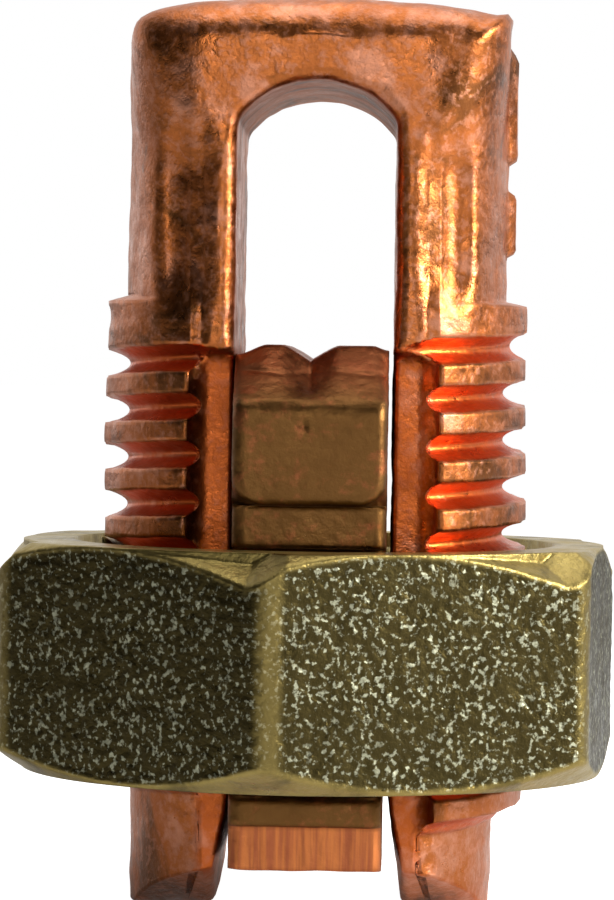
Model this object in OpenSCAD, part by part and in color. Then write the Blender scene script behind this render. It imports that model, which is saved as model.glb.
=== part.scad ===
// Split bolt connector: a slotted, threaded bolt, a hex nut, and a pressure bar held captive in the nut.
// Millimetres. +Z is up along the thread's axis, +Y points to the back, and the leg ends stand on Z = 0.

/* [Bolt] */
// Height from the leg ends to the top of the loop
bolt_h = 30.3; // [29.5:0.1:33]
// Width of the slot that the conductors lie in
slot_w = 5.3; // [4.8:0.1:5.6]
// Width across the loop's two sides
loop_w = 12.8; // [12.4:0.1:13]
// Thickness of the loop from front to back
loop_t = 11.6; // [11.2:0.1:12]
// Metal left between the slot's crown and the top of the loop
crown_t = 2.75; // [2.2:0.05:3.5]
// Radius of the slot's arched crown
crown_r = 3.28; // [3:0.02:4]
// Radius of the loop's upper left corner, seen from the front
left_corner_r = 1.2; // [0.6:0.1:2]
// Radius of the loop's sharper upper right corner
right_corner_r = 0.4; // [0.3:0.1:1.5]
// Rise of the loop's crowned top above its corners
loop_crown = 0.4; // [0.2:0.05:0.8]
// Rounding of the loop's upper front and back edges
loop_edge_r = 1.8; // [1:0.1:2.5]
// Radius that the loop's sides are bowed to, seen from above
side_bow_r = 11; // [9:0.5:16]
// Chamfer of the slot's rim, front and back
rim = 0.45; // [0.3:0.05:0.7]

/* [Bolt thread] */
// Outside diameter of the thread
thread_d = 14.3; // [14.1:0.05:14.6]
// Distance from one turn of the thread to the next (16 turns to the inch)
pitch = 1.5875; // [1.5:0.0125:1.7]
// Depth of the thread groove
thread_depth = 0.74; // [0.6:0.02:0.76]
// Width of the thread's flat crest
crest_w = 0.62; // [0.54:0.02:0.68]
// Height of the shoulder that the thread ends under
shoulder_z = 20.6; // [20:0.1:21.5]
// Drop of the shoulder from the loop's side to the crest
shoulder_drop = 0.3; // [0.2:0.05:0.6]
// Diameter of the plain pilot at the leg ends
pilot_d = 12.3; // [11.8:0.1:12.6]
// Height at which the lead cone starts above the pilot
pilot_h = 2.3; // [2.2:0.05:2.6]
// Height of a groove centre on the +X side, where the lowest turn starts
groove_z = 1.485; // [1:0.005:2]

/* [Bolt legs] */
// Depth of the relief beside the slot, below the loop's front and back
relief_depth = 0.75; // [0.6:0.01:0.78]
// Width of each relief flat, from the slot's wall to where its corner starts to curve
relief_w = 0.7; // [0.5:0.05:0.9]
// Corner radius of the relief
relief_r = 0.82; // [0.8:0.01:0.95]
// Height of the relief's upper end
relief_z = 18.7; // [18:0.1:19.5]
// Slot mouth: how far each wall leans out at the leg ends
flare = 0.5; // [0.2:0.05:0.7]
// Slot mouth: height at which the flare starts
flare_h = 4; // [3:0.1:6]
// Chamfer on the inner corners of the leg ends
toe = 0.35; // [0.2:0.05:0.5]
// Lead-in bevels on the legs' front and back: distance from the middle at which they start, beside the slot
bevel_start = 2.4; // [2:0.1:3]
// Lead-in bevels: how steeply they rise outwards
bevel_angle = 29; // [15:1:32]
// Lead-in bevels: how far their lower edges are turned, seen from above
bevel_skew = 14; // [8:1:18]
// Hollow between each leg's inner ridge and its outer side: distance from the axis
hollow_x = 4.35; // [4.2:0.05:4.6]
// Radius of the hollow
hollow_r = 1.6; // [1.2:0.1:2]
// Depth of the hollow
hollow_depth = 0.4; // [0.2:0.05:0.45]
// Height at which the hollow ends in the loop's shoulder
hollow_top = 26; // [24:0.1:26.5]

/* [Side pads] */
// Height of the raised blank pads on the loop's right side
pad_t = 0.3; // [0.2:0.05:0.4]
// Width of the pads, front to back
pad_w = 2.6; // [1.6:0.1:3.2]
// Lower end of the lower pad
pad_z = 21.9; // [21.5:0.1:22.2]
// Length of the lower pad
low_pad_l = 2.3; // [1.5:0.1:2.4]
// Gap between the two pads
pad_gap = 0.85; // [0.6:0.05:1.2]
// Length of the upper pad
high_pad_l = 3.8; // [2.5:0.1:3.9]

/* [Nut] */
// Nut size across the flats
nut_af = 19.8; // [18.5:0.1:21]
// Nut thickness
nut_h = 7.7; // [7:0.1:8]
// Height of the nut's lower face in its stored place
nut_z = 4.5; // [4.3:0.1:4.8]
// Angle that the nut is turned to, seen from above (0 puts a corner on +X)
nut_turn = 23; // [-60:1:60]
// Radius of the nut's upright corners
nut_corner_r = 1; // [0.4:0.1:1.5]
// Height that the chamfer takes off the nut's corners
nut_chamfer = 0.85; // [0.6:0.05:1.3]
// Angle of the nut's chamfers to its faces
chamfer_angle = 31; // [25:1:38]
// Height of the nut's thread ridge
ridge_h = 0.56; // [0.44:0.02:0.6]
// Depth of the countersinks at both ends of the nut's thread
countersink = 0.65; // [0.62:0.01:0.9]
// Play between the two threads, along the axis and radially
thread_play = 0.08; // [0.05:0.01:0.1]

/* [Pressure bar] */
// Play between the bar and each wall of the slot
bar_play = 0.14; // [0.08:0.01:0.3]
// Length of the bar's head from front to back
head_l = 17; // [16.4:0.1:17.6]
// Height of the head, from its overhanging underside to its saddle
head_h = 5.2; // [4.6:0.1:5.3]
// Height of the collar that the nut pushes on
collar_h = 1.4; // [1:0.05:1.6]
// Length of the collar from front to back
collar_l = 15.4; // [15:0.1:15.8]
// Height of the upright front and back faces of the head
face_h = 3.3; // [2.4:0.1:3.5]
// How far the noses above those faces lean back
nose_run = 2.2; // [1.2:0.1:2.6]
// Radius of the head's lower corners, seen from the front
head_corner_r = 0.95; // [0.5:0.05:1.2]
// Radius of the head's upper corners
saddle_corner_r = 0.55; // [0.3:0.05:0.8]
// Width of the notch along the saddle
notch_w = 1.7; // [1:0.1:2.4]
// Depth of the notch along the saddle
notch_d = 0.42; // [0.2:0.02:0.7]
// Rounding of the notch's bottom
notch_r = 0.3; // [0.1:0.05:0.4]
// Rounding of the bar's ends and long edges
bar_edge_r = 0.45; // [0.2:0.05:0.5]
// Length of the stem in the nut from front to back
stem_l = 11.4; // [10:0.1:11.6]
// Length of the foot's upset lip from front to back
foot_l = 14.6; // [14.2:0.1:15.4]
// Height of the foot's lip
lip_h = 1; // [0.7:0.1:1.2]
// Height of the sheared end below the lip
shear_h = 1.5; // [0.8:0.1:1.7]
// How far the sheared end is set in from the lip
shear_inset = 0.13; // [0.05:0.01:0.3]
// Gap under the collar, above the nut
collar_gap = 0.05; // [0.03:0.01:0.2]
// End play between the nut's lower face and the foot
foot_gap = 0.25; // [0.1:0.05:0.4]

/* [Hidden] */
$fn = 96;
// How far a cutting shape reaches past the face that it cuts
over = 0.5;
// Steps of the helical sweeps in one turn
turn_steps = 48;
thread_r = thread_d / 2;
root_r = thread_r - thread_depth;
flank = tan(30);
groove_half = (pitch - crest_w) / 2;
turn = 360;
// Half the angle that a groove needs to cross one leg
leg_sweep = 62;
turns = floor((shoulder_z - pitch / 2 - groove_z) / pitch);
// The groove gets shallower from here on, over the angle runout
runout_from = turn * (turns + 0.5);
runout = turn / 2;
// The first turn is open below. What is cleared away under it stops this far outside the pilot
start_step = 0.1;
start_r = pilot_d / 2 + start_step;
// How far down the cleared part reaches
start_drop = 1.75;
slot_top = bolt_h - crown_t;
crown_z = slot_top - crown_r;
// Height at which the slot's straight walls meet its arched crown
spring_z = crown_z + sqrt(crown_r * crown_r - slot_w * slot_w / 4);
// The loop is drawn down to here, inside the thread's shoulder
loop_z = shoulder_z - 1;
crown_half_angle = asin(slot_w / 2 / crown_r);
// How far the loop's corners stay inside the thread's crest
loop_inset = 0.05;
// How far the rim's chamfers on the walls and on the crown run past each other
rim_lap = 0.22;
// Radius of the circle through the loop's crowned top
crown_bow = (loop_w * loop_w / 4 + loop_crown * loop_crown) / (2 * loop_crown);
bore_r = thread_r + thread_play;
nut_corner = (nut_af / 2 - nut_corner_r) / cos(30);
ridge_x = slot_w / 2 + relief_w;
bar_w = slot_w - 2 * bar_play;
nut_top = nut_z + nut_h;
collar_z = nut_top + collar_gap;
head_z = collar_z + collar_h;
head_top = head_z + head_h;
lip_z = nut_z - foot_gap - lip_h;

// ---- Helical sweep ----

// How far the groove's section has moved out at angle a, where it runs out below the shoulder
function groove_lift(a) = thread_depth * max(0, a - runout_from) / runout;

// A section of [radius, height] points, listed so that outside is on its right, carried along a helix
// from angle a0 to a1, and moved out by groove_lift where it runs out
module helical_sweep(section, a0, a1, runs_out = false) {
    n = len(section);
    steps = max(1, round((a1 - a0) * turn_steps / turn));
    angles = [for (i = [0:steps]) a0 + (a1 - a0) * i / steps];
    points = [
        for (a = angles)
            for (p = section)
                let (r = p[0] + (runs_out ? groove_lift(a) : 0))
                    [r * cos(a), r * sin(a), p[1] + groove_z + pitch * a / turn]
    ];
    sides = [
        for (i = [0:steps - 1])
            for (j = [0:n - 1])
                let (k = (j + 1) % n)
                    each [
                        [i * n + j, i * n + k, (i + 1) * n + k],
                        [i * n + j, (i + 1) * n + k, (i + 1) * n + j]
                    ]
    ];
    caps = [[for (j = [n - 1:-1:0]) j], [for (j = [0:n - 1]) steps * n + j]];
    polyhedron(points, concat(sides, caps));
}

// ---- Split bolt ----

// The groove's section: a 60 degree form with a narrow flat root
function groove_section() =
    let (reach = thread_depth + over, open = groove_half + over * flank)
        [
            [root_r, -(groove_half - thread_depth * flank)],
            [root_r + reach, -open],
            [root_r + reach, open],
            [root_r, groove_half - thread_depth * flank]
        ];

// What is cleared away under the first turn: the groove's upper flank, over the pilot's side
function start_section() =
    [
        [start_r, -start_drop],
        [thread_r + over, -start_drop],
        [thread_r + over, groove_half + over * flank],
        [start_r, groove_half - (thread_r - start_r) * flank]
    ];

// Seen from above: a round bar with bowed sides, moved out by grow
module loop_plan(grow = 0) {
    intersection() {
        circle(r = thread_r - loop_inset);
        translate([loop_w / 2 - side_bow_r, 0])
            circle(r = side_bow_r + grow);
        translate([side_bow_r - loop_w / 2, 0])
            circle(r = side_bow_r + grow);
    }
}

// A rectangle from z0 to z1 whose upper corners are rounded to r_left and r_right
module rounded_top(w, z0, z1, r_left, r_right) {
    translate([-w / 2, z0])
        square([w, z1 - max(r_left, r_right) - z0]);
    translate([r_left - w / 2, z0])
        square([w - r_left - r_right, z1 - z0]);
    for (c = [[-1, r_left], [1, r_right]])
        translate([c[0] * (w / 2 - c[1]), z1 - c[1]]) {
            circle(r = c[1]);
            translate([min(0, c[0] * c[1]), z0 - z1])
                square([c[1], z1 - z0]);
        }
}

// Draws a 2D front view (X to the right, Z up) through the whole thickness t
module from_front(t) {
    rotate([90, 0, 0])
        linear_extrude(height = t, center = true)
            children();
}

// Draws a 2D side view (Y to the right, Z up) through the whole width w
module from_side(w) {
    rotate([90, 0, 90])
        linear_extrude(height = w, center = true)
            children();
}

module loop() {
    intersection() {
        translate([0, 0, loop_z])
            linear_extrude(height = bolt_h)
                loop_plan();
        from_front(thread_d)
            intersection() {
                rounded_top(
                    loop_w + over, loop_z, bolt_h,
                    left_corner_r + over / 2, right_corner_r + over / 2
                );
                translate([0, bolt_h - crown_bow])
                    circle(r = crown_bow);
            }
    }
}

// A blank pad that follows the loop's bowed right side, with ends that slope at 45 degrees
module side_pad(z0, length) {
    foot_x = loop_w / 2;
    z1 = z0 + length;
    sunk = 2 * over;
    intersection() {
        translate([0, 0, z0 - sunk])
            linear_extrude(height = length + 2 * sunk)
                intersection() {
                    loop_plan(pad_t);
                    translate([foot_x - sunk, -pad_w / 2])
                        square([2 * sunk, pad_w]);
                }
        from_front(pad_w + over)
            polygon([
                [foot_x - 2 * sunk, z0 - 2 * sunk],
                [foot_x + over, z0 + over],
                [foot_x + over, z1 - over],
                [foot_x - 2 * sunk, z1 + 2 * sunk]
            ]);
    }
}

// The turned blank that the thread is cut in: pilot, lead cone, barrel and shoulder
module thread_blank() {
    cone_h = thread_r - pilot_d / 2;
    rotate_extrude()
        polygon([
            [0, 0],
            [pilot_d / 2, 0],
            [pilot_d / 2, pilot_h],
            [thread_r, pilot_h + cone_h],
            [thread_r, shoulder_z - shoulder_drop],
            [loop_w / 2 - 2 * over, shoulder_z],
            [0, shoulder_z]
        ]);
}

// The blank before slotting: loop, barrel and pads between the flat front and back
module blank() {
    intersection() {
        union() {
            loop();
            thread_blank();
            side_pad(pad_z, low_pad_l);
            side_pad(pad_z + low_pad_l + pad_gap, high_pad_l);
        }
        from_side(thread_d + over)
            rounded_top(loop_t, -over, bolt_h, loop_edge_r, loop_edge_r);
    }
}

module slot_outline() {
    translate([-slot_w / 2, -over])
        square([slot_w, spring_z + over]);
    intersection() {
        translate([0, crown_z])
            circle(r = crown_r);
        translate([-slot_w / 2, 0])
            square([slot_w, bolt_h]);
    }
    mouth = slot_w / 2 + flare;
    polygon([
        [-mouth - toe - over, -over],
        [mouth + toe + over, -over],
        [mouth, toe],
        [slot_w / 2, flare_h],
        [-slot_w / 2, flare_h],
        [-mouth, toe]
    ]);
}

// What a chamfer of size c takes off a square edge at the origin
module edge_cut(c) {
    polygon([[-over, -over], [c + over, -over], [-over, c + over]]);
}

// Chamfers the slot's rim on the back, up both straight walls and over the crown
module rim_cut() {
    for (mx = [0, 1])
        mirror([mx, 0, 0])
            translate([slot_w / 2, loop_t / 2, relief_z - relief_r])
                linear_extrude(height = spring_z - relief_z + relief_r + rim_lap)
                    mirror([0, 1])
                        edge_cut(rim);
    reach = crown_half_angle + asin(rim_lap / crown_r);
    translate([0, loop_t / 2, crown_z])
        rotate([90, 0, 0])
            rotate_extrude(start = 90 - reach, angle = 2 * reach)
                translate([crown_r, 0])
                    edge_cut(rim);
}

// Round-ended hollow beside the ridge on one corner of one leg
module hollow() {
    translate([hollow_x, loop_t / 2 + hollow_r - hollow_depth, shoulder_z - over]) {
        height = hollow_top - hollow_r - shoulder_z + over;
        cylinder(r = hollow_r, h = height);
        translate([0, 0, height])
            sphere(r = hollow_r);
    }
}

// Lead-in bevel on one corner of one leg end
module bevel() {
    size = thread_d;
    translate([slot_w / 2, bevel_start, 0])
        rotate([0, 0, -bevel_skew])
            rotate([bevel_angle, 0, 0])
                translate([-size / 2, 0, -size])
                    cube([size, size, size]);
}

// Relief flat beside the slot on one corner of one leg, with a ball-ended top
module relief() {
    axis_y = loop_t / 2 - relief_depth + relief_r;
    top = relief_z - relief_r;
    translate([0, axis_y, 0]) {
        translate([0, -relief_r, -over])
            cube([ridge_x, 2 * relief_r, top + over]);
        translate([ridge_x, 0, -over])
            cylinder(r = relief_r, h = top + over);
        translate([0, 0, top])
            rotate([0, 90, 0])
                cylinder(r = relief_r, h = ridge_x);
        translate([ridge_x, 0, top])
            sphere(r = relief_r);
    }
}

module split_bolt() {
    color([0.66, 0.33, 0.17])
    difference() {
        blank();
        from_front(thread_d + over)
            slot_outline();
        for (my = [0, 1])
            mirror([0, my, 0]) {
                rim_cut();
                for (mx = [0, 1])
                    mirror([mx, 0, 0]) {
                        relief();
                        hollow();
                        bevel();
                    }
            }
        for (side = [0, turn / 2]) {
            helical_sweep(start_section(), turn + side - leg_sweep, turn + side + leg_sweep);
            for (a = [2 * turn + side:turn:turns * turn + side])
                helical_sweep(groove_section(), a - leg_sweep, a + leg_sweep, runs_out = true);
        }
    }
}

// ---- Hex nut ----

// A hexagon of nut_af across the flats with rounded corners, one corner on +X
module rounded_hexagon() {
    for (k = [0:5]) {
        rotate(60 * k)
            translate([nut_corner, 0])
                circle(r = nut_corner_r);
        rotate(60 * k + 30)
            translate([0, -nut_corner / 2])
                square([nut_af / 2, nut_corner]);
    }
}

// The ridge that runs in the bolt's groove, thread_play clear of it all round
function ridge_section() =
    let (
        tip = groove_half - thread_play - ridge_h * flank,
        foot = tip + (ridge_h + over) * flank
    )
        [
            [bore_r - ridge_h, -tip],
            [bore_r + over, -foot],
            [bore_r + over, foot],
            [bore_r - ridge_h, tip]
        ];

module nut_thread() {
    first = floor((nut_z - pitch - groove_z) / pitch);
    last = ceil((nut_top + pitch - groove_z) / pitch);
    intersection() {
        helical_sweep(ridge_section(), turn * first, turn * last);
        rotate_extrude()
            polygon([
                [bore_r - countersink, nut_z + countersink],
                [bore_r, nut_z],
                [bore_r + over / 2, nut_z],
                [bore_r + over / 2, nut_top],
                [bore_r, nut_top],
                [bore_r - countersink, nut_top - countersink]
            ]);
    }
}

module hex_nut() {
    corner_r = nut_corner + nut_corner_r;
    run = nut_chamfer / tan(chamfer_angle);
    color([0.52, 0.45, 0.22]) {
        difference() {
            intersection() {
                translate([0, 0, nut_z])
                    rotate(nut_turn)
                        linear_extrude(height = nut_h)
                            rounded_hexagon();
                rotate_extrude()
                    polygon([
                        [0, nut_z],
                        [corner_r - run, nut_z],
                        [corner_r, nut_z + nut_chamfer],
                        [corner_r, nut_top - nut_chamfer],
                        [corner_r - run, nut_top],
                        [0, nut_top]
                    ]);
            }
            translate([0, 0, nut_z - over])
                cylinder(r = bore_r, h = nut_h + 2 * over);
        }
        nut_thread();
    }
}

// ---- Pressure bar ----

// A rectangle centred on the axis, from y0 to y1, with its lower and upper corners rounded
module rounded_bar(w, y0, y1, r_low, r_high) {
    r = max(r_low, r_high);
    translate([-w / 2, y0 + r_low])
        square([w, y1 - y0 - r_low - r_high]);
    translate([r_low - w / 2, y0])
        square([w - 2 * r_low, y1 - y0 - r_high]);
    translate([r_high - w / 2, y1 - r])
        square([w - 2 * r_high, r]);
    for (s = [-1, 1]) {
        translate([s * (w / 2 - r_low), y0 + r_low])
            circle(r = r_low);
        translate([s * (w / 2 - r_high), y1 - r_high])
            circle(r = r_high);
    }
}

// The bar's plan over a length l, with rounded upright edges
module bar_plan(l) {
    rounded_bar(bar_w, -l / 2, l / 2, bar_edge_r, bar_edge_r);
}

// Seen from the side: upright ends with noses that lean back to the saddle
module head_side() {
    offset(r = bar_edge_r)
        offset(delta = -bar_edge_r)
            polygon([
                [-head_l / 2, head_z],
                [head_l / 2, head_z],
                [head_l / 2, head_z + face_h],
                [head_l / 2 - nose_run, head_top],
                [nose_run - head_l / 2, head_top],
                [-head_l / 2, head_z + face_h]
            ]);
}

module head() {
    intersection() {
        from_side(bar_w + over)
            head_side();
        from_front(head_l + over)
            difference() {
                rounded_bar(bar_w, head_z, head_top, head_corner_r, saddle_corner_r);
                offset(r = notch_r)
                    offset(delta = -notch_r)
                        polygon([
                            [-notch_w, head_top + notch_d],
                            [0, head_top - notch_d],
                            [notch_w, head_top + notch_d]
                        ]);
            }
    }
}

module foot() {
    intersection() {
        translate([0, 0, lip_z - shear_h])
            linear_extrude(height = shear_h + lip_h)
                bar_plan(foot_l);
        from_side(bar_w + over)
            union() {
                rounded_bar(foot_l, lip_z, lip_z + lip_h, bar_edge_r, bar_edge_r);
                rounded_bar(
                    foot_l - 2 * shear_inset, lip_z - shear_h, lip_z + lip_h / 2,
                    bar_edge_r / 2, bar_edge_r / 2
                );
            }
        from_front(foot_l + over)
            rounded_bar(bar_w, lip_z - shear_h, lip_z + lip_h, bar_edge_r, bar_edge_r);
    }
}

module pressure_bar() {
    color([0.50, 0.27, 0.14]) {
        head();
        translate([0, 0, collar_z])
            linear_extrude(height = collar_h + head_corner_r)
                bar_plan(collar_l);
        translate([0, 0, lip_z])
            linear_extrude(height = head_z - lip_z)
                bar_plan(stem_l);
        foot();
    }
}

split_bolt();
hex_nut();
pressure_bar();
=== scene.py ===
import math

import bmesh
import bpy
import numpy as np
from bpy.props import FloatProperty, FloatVectorProperty, IntProperty, PointerProperty
from mathutils import Matrix, Vector


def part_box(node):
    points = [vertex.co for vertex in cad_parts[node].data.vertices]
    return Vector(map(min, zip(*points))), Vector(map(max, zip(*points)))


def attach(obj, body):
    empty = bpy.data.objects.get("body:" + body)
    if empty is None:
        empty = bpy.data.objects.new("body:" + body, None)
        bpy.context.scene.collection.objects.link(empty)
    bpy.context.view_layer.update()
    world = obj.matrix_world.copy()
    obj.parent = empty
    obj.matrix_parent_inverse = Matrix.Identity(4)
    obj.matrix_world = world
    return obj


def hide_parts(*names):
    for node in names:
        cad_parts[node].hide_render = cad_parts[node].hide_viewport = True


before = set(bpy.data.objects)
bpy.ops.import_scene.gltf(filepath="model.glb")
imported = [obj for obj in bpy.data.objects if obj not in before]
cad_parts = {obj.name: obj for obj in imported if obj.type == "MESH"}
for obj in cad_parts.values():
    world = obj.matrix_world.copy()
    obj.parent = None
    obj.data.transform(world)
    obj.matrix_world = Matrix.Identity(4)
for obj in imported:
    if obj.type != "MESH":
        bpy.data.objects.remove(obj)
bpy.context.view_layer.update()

bl_info = {
    "name": "Split bolt connector",
    "version": (1, 0, 0),
    "blender": (4, 5, 0),
    "location": "3D View > Sidebar > Split Bolt",
    "description": "Builds the surfaces, metals and studio of a copper split bolt connector",
    "category": "Object",
}

MM = 0.001
BOLT_LOW, BOLT_HIGH = [[c / MM for c in corner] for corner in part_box("split_bolt")]
NUT_LOW, NUT_HIGH = [[c / MM for c in corner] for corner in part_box("hex_nut")]
BAR_LOW, BAR_HIGH = [[c / MM for c in corner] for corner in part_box("pressure_bar")]


def length(name, description, millimetres):
    """A length property, whose default is given in millimetres."""
    return FloatProperty(name=name, description=description, default=millimetres * MM,
                         unit="LENGTH", precision=5)


def colour(name, description, *rgb):
    """A colour property without alpha."""
    return FloatVectorProperty(name=name, description=description, default=rgb,
                               subtype="COLOR", min=0.0, max=1.0)


class BoltSettings(bpy.types.PropertyGroup):
    """Sizes and colours of the forged bolt."""
    slot_w: length("Slot width", "Width of the slot that the conductors lie in", 5.3)
    crown_r: length("Crown radius", "Radius of the slot's arched crown", 3.28)
    crown_t: length("Crown thickness", "Metal above the slot's crown", 2.75)
    loop_w: length("Loop width", "Width across the loop's two sides", 12.8)
    side_bow_r: length("Side bow", "Radius that the loop's sides are bowed to", 11.0)
    loop_crown: length("Top crown", "Rise of the loop's top above its corners", 0.4)
    edge_r: length("Edge rounding", "Rounding of the head's upper edges", 1.8)
    pitch: length("Pitch", "Distance from one turn of the thread to the next", 1.5875)
    thread_d: length("Thread diameter", "Outside diameter of the thread", 14.3)
    thread_depth: length("Thread depth", "Depth of the thread groove", 0.77)
    crest_w: length("Crest width", "Width of the thread's crest", 0.66)
    groove_z: length("Groove height", "Height of a groove's centre on the +X side", 1.485)
    shoulder_z: length("Shoulder height", "Height of the shoulder above the thread", 20.6)
    pilot_d: length("Pilot diameter", "Diameter of the plain pilot at the leg ends", 12.3)
    relief_z: length("Relief height", "Upper end of the relief beside the slot", 18.7)
    relief_depth: length("Relief depth", "Depth of the relief beside the slot", 0.75)
    relief_r: length("Relief radius", "Corner radius of the relief", 0.82)
    hollow_depth: length("Hollow depth", "Depth of the hollow beside each ridge", 0.5)
    pad_t: length("Pad height", "Height of the two blank pads on the side", 0.3)
    forged: colour("Forged copper", "Colour of the forged skin", 0.46, 0.135, 0.035)
    blush: colour("Copper blush", "Pink speckle in the forged skin", 0.66, 0.30, 0.19)
    tarnish: colour("Tarnish", "Dark olive patches in the forged skin", 0.13, 0.05, 0.016)
    cut: colour("Cut copper", "Colour of the freshly cut grooves", 0.58, 0.115, 0.022)


class NutSettings(bpy.types.PropertyGroup):
    """Sizes and colours of the nut."""
    across_flats: length("Across flats", "Nut size across the flats", 19.8)
    corner_r: length("Corner rounding", "Radius of the upright corners", 1.0)
    chamfer: length("Chamfer height", "Height that the chamfer takes off the corners", 0.85)
    bore_d: length("Bore diameter", "Diameter at the root of the nut's thread", 14.46)
    ridge_h: length("Ridge height", "Height of the nut's thread ridge", 0.56)
    countersink: length("Countersink", "Depth of the countersinks", 0.65)
    grain: length("Grain height", "Height of the grain on the rough flats", 0.05)
    grain_size: length("Grain size", "Size of the grain on the rough flats", 0.24)
    turn: FloatProperty(name="Turn", description="Angle of a corner from +X",
                        default=math.radians(23), unit="ROTATION")
    bronze: colour("Bronze", "Colour of the smooth chamfers", 0.36, 0.27, 0.085)
    dark: colour("Dark bronze", "Colour between the grains of the flats", 0.055, 0.042, 0.014)
    # Painted glint colour: the bright colour of the flats' high grains stands in for light caught by their facets.
    speck: colour("Specks", "Colour of the bright grains", 0.42, 0.42, 0.29)


class BarSettings(bpy.types.PropertyGroup):
    """Sizes and colours of the pressure bar."""
    width: length("Bar width", "Width of the bar in the slot", 5.0)
    head_h: length("Head height", "Height of the head above its underside", 5.2)
    face_h: length("Face height", "Height of the head's upright faces", 3.3)
    nose_run: length("Nose run", "How far the noses lean back", 2.2)
    collar_l: length("Collar length", "Length of the collar above the nut", 15.4)
    stem_l: length("Stem length", "Length of the stem in the nut", 11.4)
    foot_l: length("Foot length", "Length of the foot's lip", 14.6)
    lip_h: length("Lip height", "Height of the foot's lip", 1.0)
    notch_d: length("Notch depth", "Depth of the notch along the saddle", 0.5)
    edge_r: length("Edge rounding", "Rounding of the upright edges", 0.45)
    skin: colour("Bar skin", "Colour of the tarnished skin", 0.16, 0.075, 0.022)
    # A redder copper, used for the skin's patches, on the saddle and the noses, and between the shear lines.
    redder_copper: colour("Rubbed copper", "Colour where the skin is rubbed", 0.42, 0.12, 0.05)
    shear: colour("Sheared copper", "Colour of the sheared ends", 0.62, 0.20, 0.06)


class StageSettings(bpy.types.PropertyGroup):
    """The camera and the lamps."""
    distance: length("Camera distance", "Distance of the camera from the axis", 140.0)
    eye: length("Eye height", "Height of the camera", 18.16)
    aim: length("Aim height", "Height on the axis that the camera looks at", 15.3)
    aside: length("Aside", "How far the view's middle lies from the axis", -0.29)
    lens: FloatProperty(name="Lens", description="Focal length", default=164.2)
    roll: FloatProperty(name="Roll", description="Turn of the camera about its view",
                        default=math.radians(0.85), unit="ROTATION")
    yaw: FloatProperty(name="Yaw", description="Turn of the camera round the object",
                       default=math.radians(1.05), unit="ROTATION")
    key: FloatProperty(name="Key lamp", description="Power of the key lamp", default=0.42)
    fill: FloatProperty(name="Fill lamp", description="Power of the fill lamp", default=0.075)
    top: FloatProperty(name="Top lamp", description="Power of the top lamp", default=0.10)
    sky: FloatProperty(name="Sky", description="Strength of the sky's soft light", default=0.03)


# ---- Surfaces ----


def millimetres(settings, *names):
    """The named lengths of a settings group, in millimetres."""
    return [getattr(settings, name) / MM for name in names]


def smooth(x, low, high):
    """Rises from 0 at low to 1 at high along a cubic with level ends."""
    t = np.clip((x - low) / (high - low), 0.0, 1.0)
    return t * t * (3.0 - 2.0 * t)


def soft_min(a, b, sharpness):
    """The lesser of two lengths, with the corner between them eased: a negative power mean."""
    return (a ** -sharpness + b ** -sharpness) ** (-1.0 / sharpness)


def lattice_noise(u, v, cells_u, cells_v, seed):
    """Random values on a lattice over the unit square, joined by cubic steps. u wraps round."""
    values = np.random.default_rng(seed).random((cells_u, cells_v + 2))
    gu, gv = (u % 1.0) * cells_u, np.clip(v, 0.0, 1.0) * cells_v
    iu, iv = np.floor(gu).astype(int) % cells_u, np.floor(gv).astype(int)
    fu, fv = smooth(gu - np.floor(gu), 0, 1), smooth(gv - iv, 0, 1)
    ju, jv = (iu + 1) % cells_u, iv + 1
    low = values[iu, iv] * (1 - fu) + values[ju, iv] * fu
    high = values[iu, jv] * (1 - fu) + values[ju, jv] * fu
    return low * (1 - fv) + high * fv


def wave_noise(x, y, z, wavelength, count, seed):
    """A sum of sine waves that run in random directions, with values of about -1 to 1."""
    rng = np.random.default_rng(seed)
    total = 0.0
    for _ in range(count):
        direction = rng.normal(size=3)
        direction *= 2 * math.pi / (wavelength * rng.uniform(0.6, 1.6) * np.linalg.norm(direction))
        total = total + np.sin(direction[0] * x + direction[1] * y + direction[2] * z
                               + rng.uniform(0, 2 * math.pi))
    return total / math.sqrt(count)


def grid_faces(rows, columns, wrap_rows=False, wrap_columns=True):
    """The four-sided faces of a grid whose points are numbered row by row."""
    i = np.arange(rows if wrap_rows else rows - 1)
    j = np.arange(columns if wrap_columns else columns - 1)
    i, j = np.meshgrid(i, j, indexing="ij")
    a, b = (i + 1) % rows, (j + 1) % columns
    return np.stack([i * columns + j, i * columns + b, a * columns + b, a * columns + j],
                    axis=-1).reshape(-1, 4)


def grid_normals(p):
    """Unit normals of a grid of points that closes on itself along its columns."""
    along = np.gradient(p, axis=0)
    across = (np.roll(p, -1, axis=1) - np.roll(p, 1, axis=1)) / 2
    n = np.cross(across, along)
    return n / np.maximum(np.linalg.norm(n, axis=-1, keepdims=True), 1e-9)


def add_piece(name, points, faces, body, material, attributes=None, replaces=None):
    """Makes a mesh object from points in millimetres, welded, with its faces outwards, on a body."""
    mesh = bpy.data.meshes.new(name)
    mesh.from_pydata((points.reshape(-1, 3) * MM).tolist(), [], faces.tolist())
    for key, values in (attributes or {}).items():
        layer = mesh.attributes.new(key, "FLOAT", "POINT")
        layer.data.foreach_set("value", np.clip(values, 0, 1).astype(np.float32).ravel())
    bm = bmesh.new()
    bm.from_mesh(mesh)
    bmesh.ops.remove_doubles(bm, verts=bm.verts, dist=1e-7)
    bmesh.ops.dissolve_degenerate(bm, edges=bm.edges, dist=1e-8)
    if bm.calc_volume(signed=True) < 0:
        bmesh.ops.reverse_faces(bm, faces=bm.faces)
    for face in bm.faces:
        face.smooth = True
    bm.to_mesh(mesh)
    bm.free()
    mesh.materials.append(material)
    piece = bpy.data.objects.new(name, mesh)
    bpy.context.scene.collection.objects.link(piece)
    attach(piece, body)
    if replaces:
        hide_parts(replaces)
    return piece


# ---- Split bolt ----


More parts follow.
